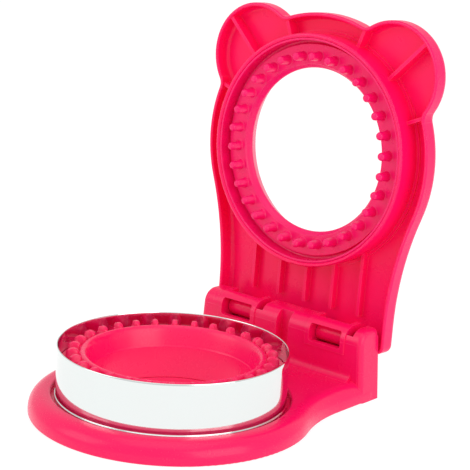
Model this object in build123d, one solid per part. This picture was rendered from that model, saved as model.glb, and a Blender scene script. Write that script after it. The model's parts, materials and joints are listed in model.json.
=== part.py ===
from build123d import *
from math import atan2, cos, hypot, pi, radians, sin, sqrt
import os

os.makedirs("parts", exist_ok=True)

# Sizes in millimetres. Heights are above the table, and the pieces are drawn about the
# cutter's axis with the lid closed. The lid is swung open at the end, as the object rests.

# Cutter band
cutter_diameter = 85.0
cutter_sheet = 0.5
cutter_top = 26.0
cutter_flange_width = 3.0
bead_height = 7.4
bead_proud = 0.6

# Base
base_diameter = 104.6
base_height = 8.0
base_round = 6.0
base_foot_round = 0.8
base_wall = 2.3
base_skin = 3.4
floor_top = 3.4
floor_thickness = 2.0
base_hole_diameter = 58.6
hole_rib = 1.8
recess_gap = 1.7
recess_floor = 5.4
sleeve_wall = 2.0
recess_lip_round = 0.7
cutter_slot_clearance = 0.05

# Neck and hinge tower of the base
neck_half_width = 42.0
neck_blend_end = 47.6
neck_corner = 5.0
tower_front = 61.3
tower_top = 27.8
tower_draft = 4.3
tower_front_round = 5.5
tower_end_round = 2.0
tower_wall = 2.3
cave_roof = 4.35
cove_radius = 3.0

# Hinge
hinge_y = 68.7
hinge_z = 21.85
open_angle = 92.2
pin_diameter = 3.0
pin_hole_clearance = 0.02
pin_running_clearance = 0.06
pin_end_cover = 1.6
pin_end_recess = 0.6
pin_chamfer = 0.3
barrel_radius = 3.6
side_clearance = 0.4
swing_clearance = 0.4
stop_gap = 0.5

# One hinge unit, from its left end: block, window housing, arm slot, knuckle
unit_starts = (-40.2, 4.8)
block_width = 8.6
housing_width = 19.0
slot_width = 3.2
knuckle_width = 8.0
housing_proud = 0.5
housing_low = 17.6
window_low = 19.3
window_high = 26.2
window_post = 1.9
window_round = 1.0
light_gap = 2.2
tower_skin = 1.8
channel_depth = 3.5
channel_low = 10.0

# Lower crimp ring
band_clearance = 0.1
ring_wall = 1.8
ledge_height = 18.6
lip_crown = 23.5
lip_outer_radius = 34.6
lip_inner_radius = 32.2
lip_round = 1.15
lower_hole_radius = 29.5
funnel_foot = 16.0
post_count = 30
lower_post_top = 24.6
lower_post_width = 2.0
lower_post_band_gap = 3.2
lower_post_root = 0.4
lower_post_crest = 0.4

# Screws that hold the lower crimp ring
screw_count = 3
screw_circle = 35.6
screw_shank_radius = 1.3
screw_head_radius = 2.8
screw_head_height = 1.1
screw_length = 10.0
screw_boss_radius = 3.1
screw_clearance = 0.02
screw_hole_clearance = 0.25
screw_slot_width = 0.8
screw_slot_depth = 0.5
screw_slot_reach = 1.8

# Lid
lid_diameter = 107.0
lid_neck_half_width = 42.3
lid_blend_end = 62.0
lid_rear_overhang = 4.6
lid_rear_corner = 3.0
lid_face = 34.0
lid_plate = 2.0
lid_edge = 26.0
lid_skirt_wall = 1.5
lid_round = 3.2
ear_radius = 21.0
ear_x = 33.0
ear_y = -33.2
ear_notch_round = 4.0
edge_round = 0.6
socket_edge = 21.0
socket_wall = 1.6
socket_pad_step = 1.2
socket_pad_height = 0.8
rib_thickness = 1.3
ear_rib_angle = 45.0
ear_rib_edge = 26.6
notch_rib_angles = (21.0, 68.0)
notch_rib_edge = 27.0
neck_rib_count = 5
neck_rib_pitch = 13.4
neck_rib_end = 61.5
neck_rib_edge = 29.0
arm_half_thickness = 1.9
light_slot_length = 6.5

# Upper crimp ring, a separate insert in the lid's socket
insert_clearance = 0.05
insert_outer_wall = 0.9
groove_side_clearance = 0.5
groove_top_clearance = 1.0
insert_wall = 1.7
insert_edge = 21.4
platform_height = 25.2
platform_round = 0.8
upper_hole_radius = 32.2
hole_edge_height = 27.4
hole_edge_land = 0.8
cone_radius = 34.4
flare_radius = 35.4
upper_post_radius = 1.6
upper_post_lip_gap = 0.6
upper_post_tip = 19.4
upper_post_crest = 0.6
snap_bead_height = 28.6
snap_bead_proud = 0.25
snap_groove_clearance = 0.08

cutter_radius = cutter_diameter / 2
base_radius = base_diameter / 2
lid_radius = lid_diameter / 2
pin_radius = pin_diameter / 2
recess_radius = cutter_radius + recess_gap
recess_base_radius = cutter_radius + cutter_slot_clearance
lid_inner_face = lid_face - lid_plate
lid_back = hinge_y + lid_rear_overhang
tower_back = hinge_y + lid_edge - hinge_z - stop_gap
tube_radius = flare_radius + insert_wall
groove_outer_radius = cutter_radius + groove_side_clearance
groove_inner_radius = cutter_radius - cutter_sheet - groove_side_clearance
insert_radius = groove_outer_radius + insert_outer_wall
socket_radius = insert_radius + insert_clearance
socket_outer_radius = socket_radius + socket_wall


def ring_of(profile):
    """Turns a profile drawn in radius and height about the cutter's axis."""
    return revolve(make_face(Plane.XZ * Polyline(*profile, close=True)), Axis.Z)


def tube(outer, inner, low, high):
    """A plain round wall about the cutter's axis."""
    return ring_of([(inner, low), (outer, low), (outer, high), (inner, high)])


def disc(radius, low, high):
    """A plain round block about the cutter's axis."""
    return Pos(0, 0, (low + high) / 2) * Cylinder(radius, high - low)


def block(x_range, y_range, z_range):
    """A box between two places along each axis."""
    size = [high - low for low, high in (x_range, y_range, z_range)]
    middle = [(high + low) / 2 for low, high in (x_range, y_range, z_range)]
    return Pos(*middle) * Box(*size)


def cross_cylinder(radius, left, right):
    """A round bar along the hinge axis."""
    bar = Rotation(0, 90, 0) * Cylinder(radius, right - left)
    return Pos((left + right) / 2, hinge_y, hinge_z) * bar


def bottle_outline(radius, half_width, blend_end, back, corner):
    """The plan shape that base and lid share: a disc that runs into a straight neck."""
    blend = (half_width**2 + blend_end**2 - radius**2) / (2 * (radius - half_width))
    blend_x = half_width + blend
    meet_angle = atan2(blend_end, blend_x)
    meet = (radius * cos(meet_angle), radius * sin(meet_angle))
    middle_angle = pi + meet_angle / 2
    middle = (blend_x + blend * cos(middle_angle), blend_end + blend * sin(middle_angle))
    side = (half_width, blend_end)
    turn = back - corner
    slant = corner * (1 - sqrt(0.5))
    right = [
        ThreePointArc(meet, middle, side),
        Line(side, (half_width, turn)),
        ThreePointArc((half_width, turn), (half_width - slant, back - slant), (half_width - corner, back)),
    ]
    left = [mirror(edge, Plane.YZ) for edge in right]
    rear = Line((half_width - corner, back), (corner - half_width, back))
    front = ThreePointArc(meet, (0, -radius), (-meet[0], meet[1]))
    return make_face([front, *right, rear, *left])


def prism(face, low, high):
    """A plan shape raised between two heights."""
    return Pos(0, 0, low) * extrude(face, high - low)


def edges_at(shape, height):
    """The edges of a shape that lie flat at one height."""
    boxes = [(edge, edge.bounding_box()) for edge in shape.edges()]
    return [edge for edge, box in boxes
            if abs(box.min.Z - height) < 1e-4 and abs(box.max.Z - height) < 1e-4]


def around(shape, count, start=0.0):
    """Copies of a shape spread evenly about the cutter's axis."""
    return [Rotation(0, 0, start + 360 * i / count) * shape for i in range(count)]


def unit_spans(start):
    """The X spans of one hinge unit's window, housing, arm slot and knuckle."""
    housing = (start + block_width, start + block_width + housing_width)
    window = (housing[0] + window_post, housing[1] - window_post)
    slot = (housing[1], housing[1] + slot_width)
    knuckle = (slot[1], slot[1] + knuckle_width)
    return window, housing, slot, knuckle


def make_cutter_ring():
    """The steel band with its inward foot flange and the outward bead that shows at its foot."""
    inner = cutter_radius - cutter_sheet
    flange_top = floor_top + cutter_sheet
    band = tube(cutter_radius, inner, floor_top, cutter_top)
    flange = tube(cutter_radius, inner - cutter_flange_width, floor_top, flange_top)
    bead = ring_of([
        (inner, bead_height - 2 * bead_proud),
        (cutter_radius, bead_height - 2 * bead_proud),
        (cutter_radius + bead_proud, bead_height - bead_proud / 2),
        (cutter_radius + bead_proud, bead_height),
        (cutter_radius, bead_height),
        (inner, bead_height),
    ])
    return band + flange + bead


def tower_profile(grow, low):
    """The hinge tower's side view from a height up, with its rounded front crest."""
    front = tower_front - grow
    top = tower_top + grow
    crest = tower_front_round + grow
    slant = crest * (1 - sqrt(0.5))
    outline = [
        Line((tower_back, low), (front, low)),
        Line((front, low), (front, top - crest)),
        ThreePointArc((front, top - crest), (front + slant, top - slant), (front + crest, top)),
        Line((front + crest, top), (tower_back, top)),
        Line((tower_back, top), (tower_back, low)),
    ]
    return Plane.YZ * make_face(outline)


def make_tower():
    """The hinge tower, with drafted ends and the crest that clears the lid's rear wall."""
    reach = neck_half_width
    tower = extrude(tower_profile(0, 0), reach, both=True)
    drafted = extrude(Rectangle(2 * reach, 4 * reach), tower_top + housing_proud, taper=tower_draft)
    tower = tower & drafted
    for end in (0, -1):
        end_face = tower.faces().sort_by(Axis.X)[end]
        tower = fillet(end_face.edges().filter_by(lambda edge: edge.center().Z > hinge_z), tower_end_round)
    for start in unit_starts:
        housing = unit_spans(start)[1]
        raised = extrude(tower_profile(housing_proud, housing_low), reach, both=True)
        tower += raised & block(housing, (0, tower_back), (0, tower_top + housing_proud))
    return tower


def hinge_relief(radius, x_range):
    """The space behind and above the pin that a part of the lid swings through."""
    high = 2 * tower_top
    space = block(x_range, (hinge_y, tower_back + radius), (hinge_z, high))
    return space - cross_cylinder(radius, x_range[0], x_range[1])


def make_base_body():
    """The moulded base: domed rim, recess for the band, ribbed underside, neck and hinge tower."""
    outline = bottle_outline(base_radius, neck_half_width, neck_blend_end, tower_back, neck_corner)
    body = prism(outline, 0, base_height)
    body = fillet(edges_at(body, base_height), base_round)
    body = fillet(edges_at(body, 0), base_foot_round)
    body += make_tower()
    cove_face = Plane.YZ * make_face([
        Line((tower_front, base_height - cove_radius), (tower_front, base_height + cove_radius)),
        ThreePointArc(
            (tower_front, base_height + cove_radius),
            (tower_front - cove_radius * (1 - sqrt(0.5)), base_height + cove_radius * (1 - sqrt(0.5))),
            (tower_front - cove_radius, base_height),
        ),
        Line((tower_front - cove_radius, base_height), (tower_front, base_height - cove_radius)),
    ])
    body += extrude(cove_face, neck_half_width - base_round, both=True)

    # Recess for the band, floor under the crimp ring and centre hole
    body -= disc(recess_radius, recess_floor, tower_top)
    body = fillet(body.edges().filter_by(GeomType.CIRCLE).filter_by(
        lambda edge: abs(edge.radius - recess_radius) < 1e-4 and abs(edge.center().Z - base_height) < 1e-4),
        recess_lip_round)
    body -= disc(recess_base_radius, floor_top, tower_top)
    hole_radius = base_hole_diameter / 2
    body -= disc(hole_radius, -base_height, tower_top)

    # Hollow underside of the floor, the rim, the neck and the tower
    floor_low = floor_top - floor_thickness
    body -= tube(recess_base_radius, hole_radius + hole_rib, 0, floor_low)
    sleeve_radius = recess_base_radius + sleeve_wall
    inner = bottle_outline(base_radius - base_wall, neck_half_width - base_wall,
                           neck_blend_end, tower_back - base_wall, neck_corner - base_wall)
    hollow = prism(inner, 0, base_height - base_skin) - disc(sleeve_radius, 0, base_height)
    body -= hollow
    pocket_low = hinge_z - barrel_radius - swing_clearance
    channel_span = (unit_spans(unit_starts[0])[3][1], unit_starts[1])
    tower_cave = block((base_wall - neck_half_width, neck_half_width - base_wall),
                       (tower_front + tower_wall, tower_back - tower_wall),
                       (0, pocket_low - cave_roof))
    tower_cave -= block((channel_span[0] - tower_wall, channel_span[1] + tower_wall),
                        (tower_front, tower_front + channel_depth + tower_wall),
                        (channel_low - tower_wall, tower_top))
    cave_draft = extrude(Rectangle(2 * (neck_half_width - base_wall), 4 * neck_half_width),
                         tower_top, taper=tower_draft)
    body -= tower_cave & cave_draft

    # Screw holes through the floor
    hole = disc(screw_shank_radius + screw_hole_clearance, 0, floor_top)
    for copy in around(Pos(screw_circle, 0, 0) * hole, screw_count, 90):
        body -= copy

    # Window housings, arm slots, channel and the bore for the pin
    pocket_top = hinge_y - arm_half_thickness - swing_clearance
    for start in unit_starts:
        window, housing, slot, knuckle = unit_spans(start)
        opening = block(window, (tower_front - 2 * housing_proud, hinge_y), (window_low, window_high))
        body -= fillet(opening.edges().filter_by(Axis.Y), window_round)
        body -= block(window, (tower_front + tower_skin, tower_back + 1), (pocket_low, window_high))
        body -= block(window, (pocket_top, tower_back + 1), (pocket_low, 2 * tower_top))
        body -= block(slot, (tower_front + tower_skin / 2, tower_back + 1), (pocket_low, 2 * tower_top))
    body -= block(channel_span, (0, tower_front + channel_depth), (channel_low, 2 * tower_top))
    wall_inner = lid_rear_overhang - lid_skirt_wall - swing_clearance
    wall_reach = hypot(wall_inner, lid_edge - hinge_z) - swing_clearance
    rear_space = hinge_relief(wall_reach, (-neck_half_width, neck_half_width))
    body -= rear_space & block((-neck_half_width, neck_half_width),
                               (hinge_y + wall_inner, 2 * tower_back), (0, 2 * tower_top))
    pin_end = unit_spans(unit_starts[1])[2][1] + pin_grip()
    body -= cross_cylinder(pin_radius + pin_hole_clearance, -2 * neck_half_width, pin_end)
    return body


def tower_half_width():
    """Half of the tower's width at the height of the pin."""
    return neck_half_width - hinge_z * sin(radians(tower_draft)) / cos(radians(tower_draft))


def pin_grip():
    """How far the blind end of the pin runs into the last knuckle."""
    return tower_half_width() - pin_end_cover - unit_spans(unit_starts[1])[2][1]


def make_hinge_pin():
    """The steel pin, pushed in from the left end and blind at the right."""
    left = pin_end_recess - tower_half_width()
    right = unit_spans(unit_starts[1])[2][1] + pin_grip()
    pin = cross_cylinder(pin_radius, left, right)
    return chamfer(pin.edges().filter_by(GeomType.CIRCLE), pin_chamfer)


def lower_ring_profile():
    """The lower crimp ring's section: ledge, lip, funnel and hole wall, hollow underneath."""
    outer = cutter_radius - cutter_sheet - band_clearance
    skirt = outer - ring_wall
    web = ledge_height - ring_wall
    inner_wall = lower_hole_radius + ring_wall
    foot = floor_top + cutter_sheet
    return [
        (outer, foot),
        (outer, ledge_height),
        (lip_outer_radius, ledge_height),
        (lip_outer_radius, lip_crown),
        (lip_inner_radius, lip_crown),
        (lower_hole_radius, funnel_foot),
        (lower_hole_radius, floor_top),
        (inner_wall, floor_top),
        (inner_wall, funnel_foot - ring_wall),
        (lip_inner_radius, web),
        (skirt, web),
        (skirt, foot),
    ]


def make_lower_crimp_ring():
    """The lower crimp ring, with its posts and the bosses that take the screws."""
    ring = ring_of(lower_ring_profile())
    ring = fillet(edges_at(ring, lip_crown), lip_round)
    post_inner = lip_outer_radius - lower_post_root
    post_outer = cutter_radius - cutter_sheet - lower_post_band_gap
    oval = Pos((post_inner + post_outer) / 2, 0) * SlotOverall(post_outer - post_inner, lower_post_width)
    post = prism(oval, ledge_height - ring_wall / 2, lower_post_top)
    post = fillet(edges_at(post, lower_post_top), (lower_post_width - lower_post_crest) / 2)
    ring = ring + around(post, post_count)
    depth = screw_length - screw_head_height
    boss = disc(screw_boss_radius, floor_top, ledge_height - ring_wall)
    ring = ring + around(Pos(screw_circle, 0, 0) * boss, screw_count, 90)
    pilot = disc(screw_shank_radius + screw_clearance, 0, floor_top + depth)
    for copy in around(Pos(screw_circle, 0, 0) * pilot, screw_count, 90):
        ring -= copy
    return ring


def make_ring_screws():
    """The self-tapping screws that pull the crimp ring and the band onto the base's floor."""
    seat = floor_top - floor_thickness
    head = disc(screw_head_radius, seat - screw_head_height, seat)
    head = fillet(edges_at(head, seat - screw_head_height), screw_head_height / 2)
    shank = disc(screw_shank_radius, seat, seat + screw_length - screw_head_height)
    shank = chamfer(edges_at(shank, seat + screw_length - screw_head_height), screw_shank_radius / 2)
    slot = block((-screw_head_radius, screw_head_radius), (-screw_slot_width / 2, screw_slot_width / 2),
                 (seat - screw_head_height, seat - screw_head_height + screw_slot_depth))
    cross = Rotation(0, 0, 90) * slot
    inner = disc(screw_slot_reach, 0, seat)
    screw = head + shank - ((slot + cross) & inner)
    return Compound(around(Pos(screw_circle, 0, 0) * screw, screw_count, 90))


def lid_outline(inset):
    """The lid's plan: the bottle outline with two round ears, drawn in by an inset."""
    outline = bottle_outline(lid_radius - inset, lid_neck_half_width - inset, lid_blend_end,
                             lid_back - inset, lid_rear_corner - inset)
    for side in (-1, 1):
        outline += Pos(side * ear_x, ear_y) * Circle(ear_radius - inset)
    corners = [corner for corner in outline.vertices()
               if corner.Y < 0 and abs(hypot(corner.X, corner.Y) - lid_radius + inset) < 1e-3]
    return fillet(corners, ear_notch_round + inset)


def radial_rib(angle, inner, outer, low):
    """A rib on the lid's inner face that runs straight out from the cutter's axis."""
    rib = block((-rib_thickness / 2, rib_thickness / 2), (-outer, -inner),
                (low, lid_inner_face + lid_plate / 2))
    return Rotation(0, 0, angle) * rib


def make_hinge_arm(x_range):
    """A barrel round the pin with the web that carries it from the lid."""
    barrel = cross_cylinder(barrel_radius, *x_range)
    web = block(x_range, (hinge_y - arm_half_thickness, hinge_y + arm_half_thickness),
                (hinge_z, lid_inner_face + lid_plate / 2))
    return barrel + web


def arm_spans(start):
    """The X spans of the lid's wide barrel and thin arm in one hinge unit."""
    window, housing, slot, knuckle = unit_spans(start)
    wide = (window[0] + side_clearance, window[1] - light_gap)
    thin = (slot[0] + side_clearance, slot[1] - side_clearance)
    return wide, thin


def make_lid_body():
    """The lid with its skirt, ears, ribs, socket for the upper crimp ring and hinge barrels."""
    lid = prism(lid_outline(0), lid_edge, lid_face)
    lid = fillet(edges_at(lid, lid_face), lid_round)
    room = prism(lid_outline(lid_skirt_wall), lid_edge - 1, lid_inner_face)
    room = fillet(edges_at(room, lid_inner_face), lid_round - lid_skirt_wall)
    lid -= room
    lid = fillet(edges_at(lid, lid_edge), edge_round)

    # Ribs, kept inside the skirt
    ribs = []
    rib_root = socket_radius + socket_wall / 2
    for side in (-1, 1):
        ribs.append(radial_rib(side * ear_rib_angle, rib_root, 2 * lid_radius, ear_rib_edge))
        for angle in notch_rib_angles:
            ribs.append(radial_rib(side * angle, rib_root, 2 * lid_radius, notch_rib_edge))
    for i in range(neck_rib_count):
        x = (i - (neck_rib_count - 1) / 2) * neck_rib_pitch
        start = sqrt(socket_radius**2 - x**2)
        ribs.append(block((x - rib_thickness / 2, x + rib_thickness / 2), (start, neck_rib_end),
                          (neck_rib_edge, lid_inner_face + lid_plate / 2)))
    limit = prism(lid_outline(lid_skirt_wall / 2), lid_edge, lid_face)
    for rib in ribs:
        lid += rib & limit

    # Socket for the upper crimp ring
    pad = tube(socket_outer_radius + socket_pad_step, socket_radius,
               lid_inner_face - socket_pad_height, lid_inner_face + lid_plate / 2)
    wall = tube(socket_outer_radius, socket_radius, socket_edge, lid_inner_face + lid_plate / 2)
    wall = fillet(edges_at(wall, socket_edge), edge_round)
    lid += pad + wall
    lid -= disc(socket_radius, socket_edge, lid_inner_face)
    lid -= disc(tube_radius + insert_clearance, lid_edge, lid_face + 1)
    bead_low = snap_bead_height - snap_bead_proud - snap_groove_clearance
    bead_high = snap_bead_height + snap_bead_proud + snap_groove_clearance
    snap_radius = insert_radius + snap_bead_proud + snap_groove_clearance
    lid -= tube(snap_radius, socket_radius - insert_clearance, bead_low, bead_high)

    # Hinge barrels, their pin bores and the slots that show light beside the wide barrels
    for start in unit_starts:
        window, housing, slot, knuckle = unit_spans(start)
        wide, thin = arm_spans(start)
        lid += make_hinge_arm(wide)
        lid += make_hinge_arm(thin)
        lid -= block((wide[1], window[1]), (lid_back - light_slot_length, lid_back - lid_skirt_wall),
                     (lid_inner_face - 1, lid_face + 1))
    lid -= cross_cylinder(pin_radius + pin_running_clearance, -2 * neck_half_width, 2 * neck_half_width)
    return lid


def upper_ring_profile():
    """The upper crimp ring's section: flared hole, cone, platform, groove and outer wall."""
    groove_floor = cutter_top + groove_top_clearance
    bead_low = snap_bead_height - snap_bead_proud
    bead_high = snap_bead_height + snap_bead_proud
    inner_wall = groove_inner_radius - insert_wall
    return [
        (flare_radius, lid_face),
        (upper_hole_radius, hole_edge_height + hole_edge_land),
        (upper_hole_radius, hole_edge_height),
        (cone_radius, platform_height),
        (groove_inner_radius, platform_height),
        (groove_inner_radius, groove_floor),
        (groove_outer_radius, groove_floor),
        (groove_outer_radius, insert_edge),
        (insert_radius, insert_edge),
        (insert_radius, bead_low),
        (insert_radius + snap_bead_proud, snap_bead_height),
        (insert_radius, bead_high),
        (insert_radius, lid_inner_face),
        (groove_outer_radius, lid_inner_face),
        (groove_outer_radius, groove_floor + insert_wall),
        (inner_wall, groove_floor + insert_wall),
        (inner_wall, platform_height + insert_wall),
        (tube_radius, platform_height + insert_wall),
        (tube_radius, lid_face),
    ]


def make_upper_crimp_ring():
    """The upper crimp ring, whose posts close between those of the lower ring."""
    ring = ring_of(upper_ring_profile())
    turn = [edge for edge in edges_at(ring, platform_height) if abs(edge.radius - cone_radius) < 1e-3]
    ring = fillet(turn, platform_round)
    post = disc(upper_post_radius, upper_post_tip, platform_height + insert_wall / 2)
    post = fillet(edges_at(post, upper_post_tip), upper_post_radius - upper_post_crest / 2)
    upper_post_circle = lip_outer_radius + upper_post_lip_gap + upper_post_radius
    half_pitch = 180 / post_count
    return ring + around(Pos(upper_post_circle, 0, 0) * post, post_count, half_pitch)


hinge_axis = Axis((0, hinge_y, hinge_z), (1, 0, 0))
fixed = {
    "base_body": make_base_body(),
    "cutter_ring": make_cutter_ring(),
    "lower_crimp_ring": make_lower_crimp_ring(),
    "ring_screws": make_ring_screws(),
    "hinge_pin": make_hinge_pin(),
}
moving = {
    "lid_body": make_lid_body(),
    "upper_crimp_ring": make_upper_crimp_ring(),
}
pieces = dict(fixed)
for name, shape in moving.items():
    pieces[name] = shape.rotate(hinge_axis, -open_angle)

# The origin is the middle of the whole footprint on the table
box = Compound([Compound(shape.solids()) for shape in pieces.values()]).bounding_box()
middle = (box.min.Y + box.max.Y) / 2
print("cutter axis at y", round(-middle, 4), "hinge at y", round(hinge_y - middle, 4), "z", hinge_z)
for name, shape in pieces.items():
    export_step(Pos(0, -middle, 0) * shape, "parts/" + name + ".step")
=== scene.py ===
import json
import math
import bpy
import numpy as np
from mathutils import Matrix, Vector

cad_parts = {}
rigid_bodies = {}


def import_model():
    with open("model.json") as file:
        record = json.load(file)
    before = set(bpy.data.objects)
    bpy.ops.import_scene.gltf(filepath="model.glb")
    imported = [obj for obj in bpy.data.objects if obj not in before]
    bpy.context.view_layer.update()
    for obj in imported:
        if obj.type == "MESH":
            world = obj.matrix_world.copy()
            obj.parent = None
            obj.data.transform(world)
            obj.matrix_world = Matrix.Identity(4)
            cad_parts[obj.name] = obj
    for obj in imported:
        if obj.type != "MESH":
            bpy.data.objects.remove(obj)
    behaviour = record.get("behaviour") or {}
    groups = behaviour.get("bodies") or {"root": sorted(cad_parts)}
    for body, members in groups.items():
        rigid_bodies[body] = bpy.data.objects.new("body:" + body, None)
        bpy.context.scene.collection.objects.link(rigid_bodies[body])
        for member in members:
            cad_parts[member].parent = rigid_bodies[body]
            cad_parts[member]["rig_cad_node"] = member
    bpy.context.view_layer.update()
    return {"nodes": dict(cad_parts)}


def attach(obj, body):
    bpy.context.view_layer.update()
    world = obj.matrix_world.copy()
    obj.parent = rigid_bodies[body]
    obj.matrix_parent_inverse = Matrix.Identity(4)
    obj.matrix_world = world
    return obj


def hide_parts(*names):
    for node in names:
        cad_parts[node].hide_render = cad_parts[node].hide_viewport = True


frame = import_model()

# Lengths are metres. Ring sections are drawn in millimetres, as (radius, height) about the
# cutter's axis with the lid closed, as the solids are, and placed by the two functions below.
MM = 0.001
CUTTER_AXIS_Y = -0.0165692
HINGE_Y = 0.0521308
HINGE_Z = 0.02185
OPEN_ANGLE = math.radians(92.2)


def place_closed(points):
    """Points in millimetres about the cutter's axis, as metres in the row frame."""
    placed = np.asarray(points, float) * MM
    placed[:, 1] += CUTTER_AXIS_Y
    return placed


def place_open(points):
    """As place_closed, and then swung open with the lid."""
    placed = place_closed(points)
    dy = placed[:, 1] - HINGE_Y
    dz = placed[:, 2] - HINGE_Z
    cos_open, sin_open = math.cos(-OPEN_ANGLE), math.sin(-OPEN_ANGLE)
    placed[:, 1] = HINGE_Y + dy * cos_open - dz * sin_open
    placed[:, 2] = HINGE_Z + dy * sin_open + dz * cos_open
    return placed


# Sections and the rings turned from them
POST_COUNT = 30
STEPS_PER_POST = 40
POSTED_RING_STEPS = POST_COUNT * STEPS_PER_POST
BAND_STEPS = 512
# Point spacing where posts stand, in millimetres
POSTED_SPACING = 0.12


def arc(centre, radius, start, end, count):
    """Points on part of a circle in a section; angles in degrees from outward, towards up."""
    return [(centre[0] + radius * math.cos(math.radians(a)), centre[1] + radius * math.sin(math.radians(a)))
            for a in np.linspace(start, end, count)]


def run(start, end, spacing):
    """Evenly spaced points from start up to, but not including, end."""
    length = math.hypot(end[0] - start[0], end[1] - start[1])
    count = max(1, int(math.ceil(length / spacing)))
    return [(start[0] + (end[0] - start[0]) * i / count, start[1] + (end[1] - start[1]) * i / count)
            for i in range(count)]


def smooth_path(knots, steps):
    """A Catmull-Rom curve through the knots of a section."""
    points = np.array(knots, float)
    ends = np.vstack([2 * points[0] - points[1], points, 2 * points[-1] - points[-2]])
    out = []
    for i in range(1, len(ends) - 2):
        before, a, b, after = ends[i - 1:i + 3]
        for t in np.linspace(0, 1, steps, endpoint=False):
            out.append(0.5 * (2 * a + (b - before) * t + (2 * before - 5 * a + 4 * b - after) * t**2
                              + (3 * a - before - 3 * b + after) * t**3))
    out.append(points[-1])
    return [tuple(p) for p in out]


def ring_faces(rows, columns):
    """Quads between neighbouring points of a section and its neighbours round the turn."""
    row = np.arange(rows)[:, None]
    column = np.arange(columns)[None, :]
    next_row = (row + 1) % rows
    next_column = (column + 1) % columns
    corners = (row * columns + column, row * columns + next_column,
               next_row * columns + next_column, next_row * columns + column)
    return np.stack(corners, -1).reshape(-1, 4)


def ring_mesh(name, section, steps, place, shape_height=None):
    """A closed section turned about the cutter's axis; shape_height may move its points up or down."""
    section = np.array(section, float)
    turn = np.linspace(0, 2 * math.pi, steps, endpoint=False)
    radius = section[:, 0][:, None] * np.ones(steps)[None, :]
    height = section[:, 1][:, None] * np.ones(steps)[None, :]
    around = np.ones(len(section))[:, None] * turn[None, :]
    if shape_height is not None:
        height = shape_height(radius, around, height)
    points = np.stack([radius * np.cos(around), radius * np.sin(around), height], -1).reshape(-1, 3)
    mesh = bpy.data.meshes.new(name)
    mesh.from_pydata(place(points).tolist(), [], ring_faces(len(section), steps).tolist())
    mesh.update()
    made = bpy.data.objects.new(name, mesh)
    bpy.context.scene.collection.objects.link(made)
    bpy.context.view_layer.objects.active = made
    made.select_set(True)
    bpy.ops.object.mode_set(mode="EDIT")
    bpy.ops.mesh.select_all(action="SELECT")
    bpy.ops.mesh.normals_make_consistent(inside=False)
    bpy.ops.object.mode_set(mode="OBJECT")
    made.select_set(False)
    mesh.shade_smooth()
    return made


def post_rise(distance, crest, foot, crest_round, foot_round, draft, flank=()):
    """How high a post stands at a distance outside (or, negative, inside) its plan outline.

    The flank lists further places, out from the outline and up, that the side runs through.
    """
    past_crest = np.clip(crest_round**2 - (distance + crest_round)**2, 0, None)
    past_foot = np.clip(foot_round**2 - (draft + foot_round - distance)**2, 0, None)
    top_arc = crest - crest_round + np.sqrt(past_crest)
    low_arc = foot + foot_round - np.sqrt(past_foot)
    stations = [(0, crest - crest_round), *flank, (draft, foot + foot_round)]
    wall = np.interp(distance, [out for out, up in stations], [up for out, up in stations])
    rise = np.where(distance < -crest_round, crest, top_arc)
    rise = np.where(distance > 0, wall, rise)
    rise = np.where(distance > draft, low_arc, rise)
    return np.where(distance > draft + foot_round, foot, rise)


def from_nearest_post(radius, around, offset):
    """Radial and sideways place of each point as seen from the nearest of the posts."""
    pitch = 2 * math.pi / POST_COUNT
    turn = (around - offset + pitch / 2) % pitch - pitch / 2
    return radius * np.cos(turn), radius * np.sin(turn)


# Lower crimp ring
LEDGE = 18.6
LEDGE_TOLERANCE = 0.01
LOWER_POST_TOP = 24.6
LOWER_POST_HALF_WIDTH = 1.0
LOWER_POST_ENDS = (35.2, 37.8)
LOWER_POST_CREST_ROUND = 0.45
LOWER_POST_FOOT_ROUND = 0.3
LOWER_POST_DRAFT = 1.0
LOWER_POST_FLANK = ((0.05, 23.7), (0.12, 23.3), (0.3, 22.8), (0.6, 22.2))
LOWER_POST_DOME = 0.2
LOWER_POSTS_START = 33.9


def lower_posts(radius, around, height):
    """The thirty radial posts that rise between the lip and the band."""
    out, side = from_nearest_post(radius, around, 0.0)
    middle = sum(LOWER_POST_ENDS) / 2
    half = (LOWER_POST_ENDS[1] - LOWER_POST_ENDS[0]) / 2
    distance = np.hypot(np.clip(np.abs(out - middle) - half, 0, None), side) - LOWER_POST_HALF_WIDTH
    rise = post_rise(distance, LOWER_POST_TOP, LEDGE, LOWER_POST_CREST_ROUND, LOWER_POST_FOOT_ROUND,
                     LOWER_POST_DRAFT, LOWER_POST_FLANK)
    rise -= LOWER_POST_DOME * (out - middle)**2
    upper_side = (height > LEDGE - LEDGE_TOLERANCE) & (radius > LOWER_POSTS_START)
    return np.where(upper_side, np.maximum(height, rise), height)


def build_lower_crimp_ring():
    """Ledge with posts, rolled lip, funnel, hole wall and the hollow underneath."""
    lip_and_funnel = [(35.1, LEDGE), (34.75, 18.95), (34.6, 19.8), (34.55, 21.2), (34.4, 22.4),
                      (33.9, 23.15), (33.1, 23.5), (32.2, 23.15), (31.5, 22.1), (30.9, 20.4),
                      (30.3, 18.3), (29.85, 16.75)]
    funnel_foot = [(29.75, 16.25), (29.6, 16.05), (29.5, 15.85)]
    underside = [(31.3, 3.4), (31.3, 14.2), (32.2, 16.8), (40.1, 16.8), (40.1, 3.9)]
    section = run((41.9, 3.9), (41.9, 18.3), 2.0)
    section += arc((41.6, 18.3), 0.3, 0, 90, 4)
    section += run((41.55, LEDGE), (35.1, LEDGE), POSTED_SPACING)
    section += smooth_path(lip_and_funnel, 6)
    section += smooth_path(funnel_foot, 3)
    section += run((29.5, 15.6), (29.5, 3.7), 1.5)
    section += arc((29.8, 3.7), 0.3, 180, 270, 3)
    section += underside
    return ring_mesh("crimp_ring_with_posts", section, POSTED_RING_STEPS, place_closed, lower_posts)


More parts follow.
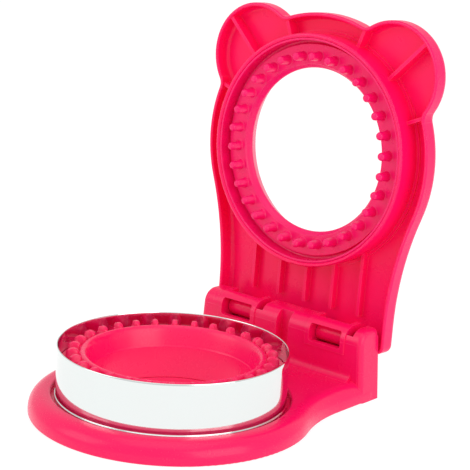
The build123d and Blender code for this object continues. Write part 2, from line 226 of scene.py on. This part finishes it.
# Upper crimp ring
PLATFORM = 25.2
PLATFORM_SPAN = (33.7, 41.3)
PLATFORM_EDGE_RISE = 0.8
UPPER_POST_TIP = 19.4
UPPER_POST_RADIUS = 1.6
UPPER_POST_CIRCLE = 36.8
UPPER_POST_TIP_ROUND = 1.3
UPPER_POST_ROOT_ROUND = 0.5
UPPER_POST_DRAFT = 0.22


def upper_posts(radius, around, height):
    """The thirty round pegs that hang from the platform, half a pitch from the lower posts."""
    out, side = from_nearest_post(radius, around, math.pi / POST_COUNT)
    distance = np.hypot(out - UPPER_POST_CIRCLE, side) - UPPER_POST_RADIUS
    fall = -post_rise(distance, -UPPER_POST_TIP, -PLATFORM, UPPER_POST_TIP_ROUND,
                      UPPER_POST_ROOT_ROUND, UPPER_POST_DRAFT)
    low_enough = height < PLATFORM + PLATFORM_EDGE_RISE
    under_side = low_enough & (radius > PLATFORM_SPAN[0]) & (radius < PLATFORM_SPAN[1])
    return np.where(under_side, np.minimum(height, fall), height)


def build_upper_crimp_ring():
    """The lid's insert: flared hole, cone, platform with pegs, groove for the band, outer wall."""
    hole_edge = [(32.3, 28.38), (32.2, 28.1), (32.2, 27.6), (32.36, 27.24)]
    cone = [(32.6, 27.0), (33.6, 26.0), (34.1, 25.5), (34.6, 25.25), (35.1, PLATFORM)]
    groove_floor = [(41.5, 26.8), (41.7, 27.0), (42.8, 27.0), (43.0, 26.8)]
    outer_wall_and_back = [(43.9, 28.3), (44.15, 28.6), (43.9, 28.9), (43.9, 32.0), (43.0, 32.0),
                           (43.0, 28.7), (39.8, 28.7), (39.8, 26.9), (37.1, 26.9), (37.1, 34.0)]
    section = run((35.4, 34.0), (32.3, 28.38), 0.8)
    section += smooth_path(hole_edge, 4)
    section += smooth_path(cone, 6)
    section += run((35.2, PLATFORM), (41.3, PLATFORM), POSTED_SPACING)
    section += arc((41.3, 25.4), 0.2, 270, 360, 3)
    section += groove_floor
    section += run((43.0, 26.0), (43.0, 21.7), 1.0)
    section += arc((43.25, 21.65), 0.25, 180, 270, 4)
    section += arc((43.65, 21.65), 0.25, 270, 360, 4)
    section += outer_wall_and_back
    return ring_mesh("lid_insert_with_pegs", section, POSTED_RING_STEPS, place_open, upper_posts)


def build_cutter_band():
    """The steel band: inward foot flange, outward bead, and an edge ground thin at the top."""
    bead = [(42.5, 6.5), (42.56, 6.7), (42.75, 6.92), (42.86, 7.12), (42.88, 7.26),
            (42.8, 7.4), (42.6, 7.48), (42.5, 7.62)]
    top_edge = [(42.48, 25.75), (42.4, 25.92), (42.27, 26.0), (42.15, 25.97), (42.04, 25.85), (42.0, 25.65)]
    section = [(39.0, 3.4)]
    section += run((39.3, 3.4), (42.2, 3.4), 1.0)
    section += arc((42.0, 3.9), 0.5, 300, 360, 5)
    section += run((42.5, 4.3), (42.5, 6.2), 0.6)
    section += smooth_path(bead, 4)
    section += run((42.5, 8.2), (42.5, 25.6), 1.2)
    section += top_edge
    section += run((42.0, 25.0), (42.0, 4.2), 1.6)
    section += [(41.7, 3.9), (39.0, 3.9)]
    return ring_mesh("steel_cutting_band", section, BAND_STEPS, place_closed)


# Surfaces
BEVEL_SAMPLES = 4
EDGE_STARTS = 0.98
EDGE_FULL = 0.75


def new_group(name, inputs):
    """A shader node group with its named inputs, giving out a colour, a roughness and a height."""
    tree = bpy.data.node_groups.new(name, "ShaderNodeTree")
    for label, kind, default in inputs:
        tree.interface.new_socket(label, in_out="INPUT", socket_type=kind).default_value = default
    tree.interface.new_socket("Colour", in_out="OUTPUT", socket_type="NodeSocketColor")
    for label in ("Roughness", "Height"):
        tree.interface.new_socket(label, in_out="OUTPUT", socket_type="NodeSocketFloat")
    return tree, tree.nodes.new("NodeGroupInput").outputs, tree.nodes.new("NodeGroupOutput").inputs


def noise(tree, vector, scale, detail, rough=0.5):
    """A noise texture read at the given coordinates."""
    node = tree.nodes.new("ShaderNodeTexNoise")
    node.inputs["Scale"].default_value = scale
    node.inputs["Detail"].default_value = detail
    node.inputs["Roughness"].default_value = rough
    tree.links.new(vector, node.inputs["Vector"])
    return node.outputs["Fac"]


def span(tree, value, low, high, to_low, to_high):
    """Maps a range of values to another, held at its ends."""
    node = tree.nodes.new("ShaderNodeMapRange")
    tree.links.new(value, node.inputs["Value"])
    for label, number in (("From Min", low), ("From Max", high), ("To Min", to_low), ("To Max", to_high)):
        node.inputs[label].default_value = number
    return node.outputs["Result"]


def blend_colour(tree, share, first, second):
    """The first colour turned into the second by a share."""
    node = tree.nodes.new("ShaderNodeMix")
    node.data_type = "RGBA"
    tree.links.new(share, node.inputs["Factor"])
    tree.links.new(first, node.inputs["A"])
    tree.links.new(second, node.inputs["B"])
    return node.outputs["Result"]


def maths(tree, operation, first, second):
    """Two values, or a value and a number, put together."""
    node = tree.nodes.new("ShaderNodeMath")
    node.operation = operation
    for socket, term in zip(node.inputs, (first, second)):
        if isinstance(term, (int, float)):
            socket.default_value = term
        else:
            tree.links.new(term, socket)
    return node.outputs["Value"]


def add_up(tree, first, *more):
    """Several values added together in turn."""
    total = first
    for term in more:
        total = maths(tree, "ADD", total, term)
    return total


def edge_mask(tree, width):
    """High where the surface turns sharply, as on moulded corners and cut edges."""
    bevel = tree.nodes.new("ShaderNodeBevel")
    bevel.samples = BEVEL_SAMPLES
    bevel.inputs["Radius"].default_value = width
    true_normal = tree.nodes.new("ShaderNodeNewGeometry")
    dot = tree.nodes.new("ShaderNodeVectorMath")
    dot.operation = "DOT_PRODUCT"
    tree.links.new(bevel.outputs["Normal"], dot.inputs[0])
    tree.links.new(true_normal.outputs["Normal"], dot.inputs[1])
    return span(tree, dot.outputs["Value"], EDGE_STARTS, EDGE_FULL, 0.0, 1.0)


def make_moulded_group():
    """Moulded plastic: slow colour drift, a polished skin with faint grain, and corners lightened partly as
    wear and partly as a painted highlight on the rounded edges.
    """
    corner_width = 0.0005
    drift_scale, patch_scale, haze_scale = 32.0, 240.0, 75.0
    speck_scale, grain_scale, sink_scale = 1500.0, 2600.0, 55.0
    drift_band, patch_band, haze_band, speck_band = (0.35, 0.7), (0.3, 0.7), (0.3, 0.75), (0.62, 0.8)
    drift_share, patch_share = (0.0, 0.45), (0.2, 0.8)
    haze_roughness, speck_roughness, rubbed_roughness = (-0.03, 0.06), (0.0, 0.08), 0.12
    sink_depth = 3.0
    tree, given, result = new_group("moulded_plastic_surface", [
        ("Pink", "NodeSocketColor", (0.8, 0.01, 0.1, 1)),
        ("Deep Pink", "NodeSocketColor", (0.6, 0.0, 0.08, 1)),
        ("Worn And Highlight Pink", "NodeSocketColor", (0.9, 0.1, 0.2, 1)),
        ("Polish", "NodeSocketFloat", 0.14),
    ])
    place = tree.nodes.new("ShaderNodeTexCoord").outputs["Object"]
    drift = span(tree, noise(tree, place, drift_scale, 3.0), *drift_band, *drift_share)
    colour = blend_colour(tree, drift, given["Pink"], given["Deep Pink"])
    patches = span(tree, noise(tree, place, patch_scale, 2.0), *patch_band, *patch_share)
    # Lighter pink on the corners: partly wear, partly a painted highlight on the rounded edges.
    rubbed_and_highlit = maths(tree, "MULTIPLY", edge_mask(tree, corner_width), patches)
    colour = blend_colour(tree, rubbed_and_highlit, colour, given["Worn And Highlight Pink"])
    haze = span(tree, noise(tree, place, haze_scale, 4.0, 0.6), *haze_band, *haze_roughness)
    specks = span(tree, noise(tree, place, speck_scale, 2.0), *speck_band, *speck_roughness)
    wear = maths(tree, "MULTIPLY", rubbed_and_highlit, rubbed_roughness)
    grain = noise(tree, place, grain_scale, 2.0)
    sink = maths(tree, "MULTIPLY", noise(tree, place, sink_scale, 2.0), sink_depth)
    tree.links.new(colour, result["Colour"])
    tree.links.new(add_up(tree, given["Polish"], haze, specks, wear), result["Roughness"])
    tree.links.new(add_up(tree, grain, sink), result["Height"])
    return tree


def make_metal_group():
    """Bare metal: fine lines from working it, thin haze, worn edges without the haze."""
    edge_width = 0.0003
    haze_scale = 60.0
    haze_band, line_band = (0.4, 0.75), (0.45, 0.8)
    dull_share, edge_share = (0.0, 0.5), 0.5
    line_roughness, dull_roughness, edge_roughness = (0.0, 0.05), 0.04, 0.05
    tree, given, result = new_group("bare_metal_surface", [
        ("Metal", "NodeSocketColor", (0.8, 0.8, 0.8, 1)),
        ("Dull Metal", "NodeSocketColor", (0.6, 0.6, 0.6, 1)),
        ("Polish", "NodeSocketFloat", 0.05),
        ("Line Spacing", "NodeSocketVector", (20.0, 20.0, 2600.0)),
    ])
    place = tree.nodes.new("ShaderNodeTexCoord").outputs["Object"]
    stretch = tree.nodes.new("ShaderNodeVectorMath")
    stretch.operation = "MULTIPLY"
    tree.links.new(place, stretch.inputs[0])
    tree.links.new(given["Line Spacing"], stretch.inputs[1])
    lines = noise(tree, stretch.outputs["Vector"], 1.0, 3.0, 0.6)
    dull = span(tree, noise(tree, place, haze_scale, 4.0, 0.6), *haze_band, *dull_share)
    edge = edge_mask(tree, edge_width)
    colour = blend_colour(tree, dull, given["Metal"], given["Dull Metal"])
    colour = blend_colour(tree, maths(tree, "MULTIPLY", edge, edge_share), colour, given["Metal"])
    roughness = add_up(tree, given["Polish"], span(tree, lines, *line_band, *line_roughness),
                       maths(tree, "MULTIPLY", dull, dull_roughness),
                       maths(tree, "MULTIPLY", edge, edge_roughness))
    tree.links.new(colour, result["Colour"])
    tree.links.new(roughness, result["Roughness"])
    tree.links.new(lines, result["Height"])
    return tree


def make_surface(name, group, settings, bump_distance, shader_settings):
    """A material whose Principled shader is fed by one of the shared surface groups."""
    material = bpy.data.materials.new(name)
    material.use_nodes = True
    tree = material.node_tree
    shader = tree.nodes["Principled BSDF"]
    surface = tree.nodes.new("ShaderNodeGroup")
    surface.node_tree = group
    for label, value in settings.items():
        surface.inputs[label].default_value = value
    bump = tree.nodes.new("ShaderNodeBump")
    bump.inputs["Strength"].default_value = 1.0
    bump.inputs["Distance"].default_value = bump_distance
    tree.links.new(surface.outputs["Height"], bump.inputs["Height"])
    tree.links.new(surface.outputs["Colour"], shader.inputs["Base Color"])
    tree.links.new(surface.outputs["Roughness"], shader.inputs["Roughness"])
    tree.links.new(bump.outputs["Normal"], shader.inputs["Normal"])
    for label, value in shader_settings.items():
        shader.inputs[label].default_value = value
    return material


def linear(red, green, blue):
    """A screen colour, 0 to 255, as the shader's linear colour."""
    out = []
    for part in (red, green, blue):
        share = part / 255
        out.append(share / 12.92 if share <= 0.04045 else ((share + 0.055) / 1.055)**2.4)
    return (*out, 1.0)


def moulded_pink(name, group, pink, deep_pink, worn_and_highlight_pink, polish, ior):
    """One of the object's pinks, from its plain, deep and worn-and-highlight screen colours; the last
    lightens the edges, partly as wear and partly as a painted highlight.
    """
    settings = {"Pink": linear(*pink), "Deep Pink": linear(*deep_pink), "Worn And Highlight Pink": linear(*worn_and_highlight_pink),
                "Polish": polish}
    return make_surface(name, group, settings, PLASTIC_GRAIN, {"IOR": ior})


def set_finish(thing, material, body):
    """Gives a piece its material and the body that it moves with."""
    thing.data.materials.clear()
    thing.data.materials.append(material)
    if thing.get("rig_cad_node") is None:
        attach(thing, body)


# Heights of the surfaces' grain and lines, in metres
PLASTIC_GRAIN = 0.000004
BAND_LINES = 0.0000004
SCREW_GRAIN = 0.000006
PIN_LINES = 0.000004

moulded = make_moulded_group()
metal = make_metal_group()
# The third colour of each pink is the lighter edge colour: partly wear, partly a painted highlight.
shell_pink = moulded_pink(
    "hot_pink_shell", moulded, (242, 12, 90), (242, 4, 88), (255, 66, 124), polish=0.24, ior=1.37)
crimp_pink = moulded_pink(
    "hot_pink_crimp_ring", moulded, (243, 14, 92), (243, 6, 90), (255, 76, 132), polish=0.27, ior=1.42)
lid_pink = moulded_pink(
    "hot_pink_lid", moulded, (253, 12, 98), (244, 3, 82), (255, 84, 130), polish=0.28, ior=1.33)
insert_pink = moulded_pink(
    "cool_pink_insert", moulded, (243, 14, 106), (238, 5, 94), (255, 90, 138), polish=0.27, ior=1.4)
band_steel = make_surface(
    "mirror_band_steel", metal,
    {"Metal": (0.78, 0.815, 0.805, 1), "Dull Metal": (0.78, 0.83, 0.82, 1), "Polish": 0.04},
    BAND_LINES, {"Metallic": 1.0})
screw_zinc = make_surface(
    "zinc_screw_steel", metal,
    {"Metal": (0.72, 0.73, 0.74, 1), "Dull Metal": (0.5, 0.5, 0.52, 1), "Polish": 0.22,
     "Line Spacing": (900.0, 900.0, 900.0)}, SCREW_GRAIN, {"Metallic": 1.0})
pin_wire = make_surface(
    "drawn_pin_steel", metal,
    {"Metal": (0.7, 0.7, 0.71, 1), "Dull Metal": (0.48, 0.48, 0.5, 1), "Polish": 0.2,
     "Line Spacing": (40.0, 2200.0, 2200.0)}, PIN_LINES, {"Metallic": 1.0})

nodes = frame["nodes"]
band = build_cutter_band()
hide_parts("cutter_ring")
set_finish(band, band_steel, "base")
lower_ring = build_lower_crimp_ring()
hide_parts("lower_crimp_ring")
set_finish(lower_ring, crimp_pink, "base")
upper_ring = build_upper_crimp_ring()
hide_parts("upper_crimp_ring")
set_finish(upper_ring, insert_pink, "lid")
set_finish(nodes["base_body"], shell_pink, "base")
set_finish(nodes["lid_body"], lid_pink, "lid")
set_finish(nodes["ring_screws"], screw_zinc, "base")
set_finish(nodes["hinge_pin"], pin_wire, "base")

# Floor
FLOOR_REACH = 6.0
FLOOR_GREY = 0.3
FLOOR_GLOW = 0.8
floor_mesh = bpy.data.meshes.new("table_top")
floor_mesh.from_pydata([(-FLOOR_REACH, -FLOOR_REACH, 0), (FLOOR_REACH, -FLOOR_REACH, 0),
                        (FLOOR_REACH, FLOOR_REACH, 0), (-FLOOR_REACH, FLOOR_REACH, 0)], [], [(0, 1, 2, 3)])
table_top = bpy.data.objects.new("table_top", floor_mesh)
bpy.context.scene.collection.objects.link(table_top)
table_white = bpy.data.materials.new("table_white")
table_white.use_nodes = True
table_shader = table_white.node_tree.nodes["Principled BSDF"]
table_shader.inputs["Base Color"].default_value = (FLOOR_GREY, FLOOR_GREY, FLOOR_GREY, 1)
table_shader.inputs["Roughness"].default_value = 1.0
table_shader.inputs["Specular IOR Level"].default_value = 0.0
table_shader.inputs["Emission Color"].default_value = (1, 1, 1, 1)
table_shader.inputs["Emission Strength"].default_value = FLOOR_GLOW
table_top.data.materials.append(table_white)


# Light
LAMP_AIM = (0.0, 0.0, 0.06)
ROOM_LIGHT = 0.8
ROOM_SEEN = 1.0


def softbox(name, place, size, power):
    """A square studio light turned towards the middle of the object."""
    data = bpy.data.lights.new(name, "AREA")
    data.shape = "SQUARE"
    data.size = size
    data.energy = power
    lamp = bpy.data.objects.new(name, data)
    bpy.context.scene.collection.objects.link(lamp)
    lamp.location = place
    lamp.rotation_euler = (Vector(LAMP_AIM) - Vector(place)).to_track_quat("-Z", "Y").to_euler()


softbox("softbox_top", (0.1, -0.15, 1.2), 1.0, 2.2)
softbox("softbox_right", (1.1, -0.15, 0.5), 0.9, 5.0)
softbox("softbox_front_left", (-0.7, -1.0, 0.7), 0.8, 3.0)

world = bpy.data.worlds.new("studio_white")
bpy.context.scene.world = world
world.use_nodes = True
sky = world.node_tree
background = sky.nodes["Background"]
ray = sky.nodes.new("ShaderNodeLightPath")
level = sky.nodes.new("ShaderNodeMapRange")
level.inputs["To Min"].default_value = ROOM_LIGHT
level.inputs["To Max"].default_value = ROOM_SEEN
sky.links.new(ray.outputs["Is Camera Ray"], level.inputs["Value"])
sky.links.new(level.outputs["Result"], background.inputs["Strength"])
background.inputs["Color"].default_value = (1, 1, 1, 1)

# Camera, fitted to the photo
CAMERA_PLACE = (0.3580, -0.4134, 0.1995)
CAMERA_RIGHT = (0.7575, 0.6506, 0.0541)
CAMERA_UP = (-0.1951, 0.1465, 0.9698)
CAMERA_BACK = (0.6230, -0.7452, 0.2379)
CAMERA_LENS = 117.55
SENSOR_WIDTH = 36.0
NEAREST_SEEN = 0.01
bpy.context.scene.view_settings.view_transform = "Standard"
camera_data = bpy.data.cameras.new("shop_photo_camera")
camera_data.lens = CAMERA_LENS
camera_data.sensor_width = SENSOR_WIDTH
camera_data.clip_start = NEAREST_SEEN
camera = bpy.data.objects.new("shop_photo_camera", camera_data)
bpy.context.scene.collection.objects.link(camera)
turn = Matrix((CAMERA_RIGHT, CAMERA_UP, CAMERA_BACK)).transposed().to_4x4()
camera.matrix_world = Matrix.Translation(CAMERA_PLACE) @ turn
bpy.context.scene.camera = camera
